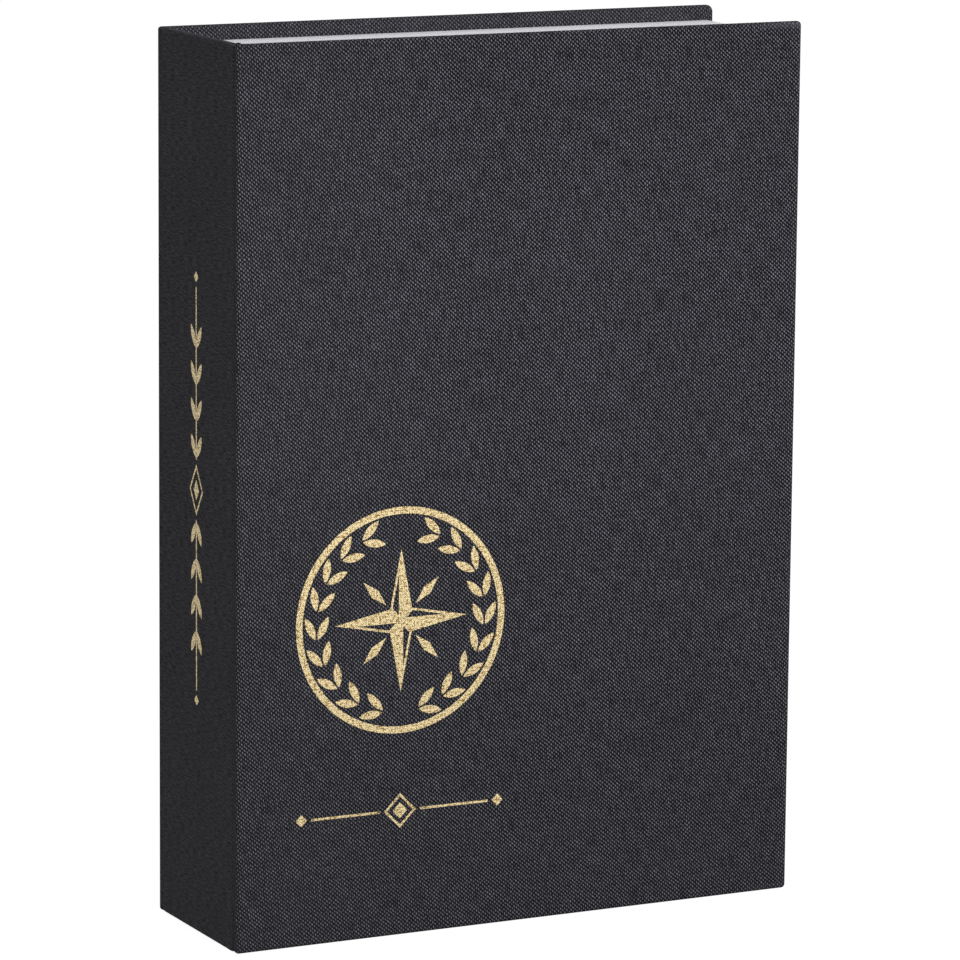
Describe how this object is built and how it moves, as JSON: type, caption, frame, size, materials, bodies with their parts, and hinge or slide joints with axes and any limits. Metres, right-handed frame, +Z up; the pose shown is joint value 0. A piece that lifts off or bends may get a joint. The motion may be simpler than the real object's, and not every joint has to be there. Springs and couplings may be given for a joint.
{
  "type": "book box",
  "caption": "Book-shaped keepsake box: cloth covered case with a hinged front cover, closed round a white paper covered tray for A4 papers.",
  "frame": {"origin": "on the surface that the closed box stands on, under the middle of the closed box", "axes": "+Z up along the spine, the longest side; front cover faces -Y, the shortest side; spine faces -X and the fore edge +X"},
  "size_m": [0.2284, 0.0706, 0.33],
  "materials": {
    "cloth": "matt charcoal book linen in plain weave, light grey weft on black warp",
    "strip": "matt black fine hinge cloth",
    "board": "raw grey board",
    "paper": "matt white covering paper",
    "tape": "gummed kraft tape",
    "magnet": "nickel plated bar magnet",
    "foil": "hot stamped gold foil, broken by the weave"
  },
  "bodies": {
    "box": {"spine_board": "board", "back_board": "board", "spine_cloth": "cloth", "back_cloth": "cloth", "hinge_strip_spine": "strip", "tray_floor": "board", "tray_head_wall": "board", "tray_tail_wall": "board", "tray_fore_edge_wall": "board", "tray_spine_wall": "board", "tray_corner_stays": "tape", "tray_wrap": "paper", "tray_floor_lining": "paper", "wall_magnet_upper": "magnet", "wall_magnet_lower": "magnet", "spine_foil": "foil"},
    "front_cover": {"front_board": "board", "front_cloth": "cloth", "front_lining": "paper", "hinge_strip_cover": "strip", "cover_magnet_upper": "magnet", "cover_magnet_lower": "magnet", "cover_foil": "foil"}
  },
  "joints": [
    {"name": "cover_hinge", "type": "hinge", "parent": "box", "child": "front_cover", "pos_m": [-0.11425, -0.032, 0.165], "axis": [0, 0, -1], "range_deg": [0, 179]}
  ]
}
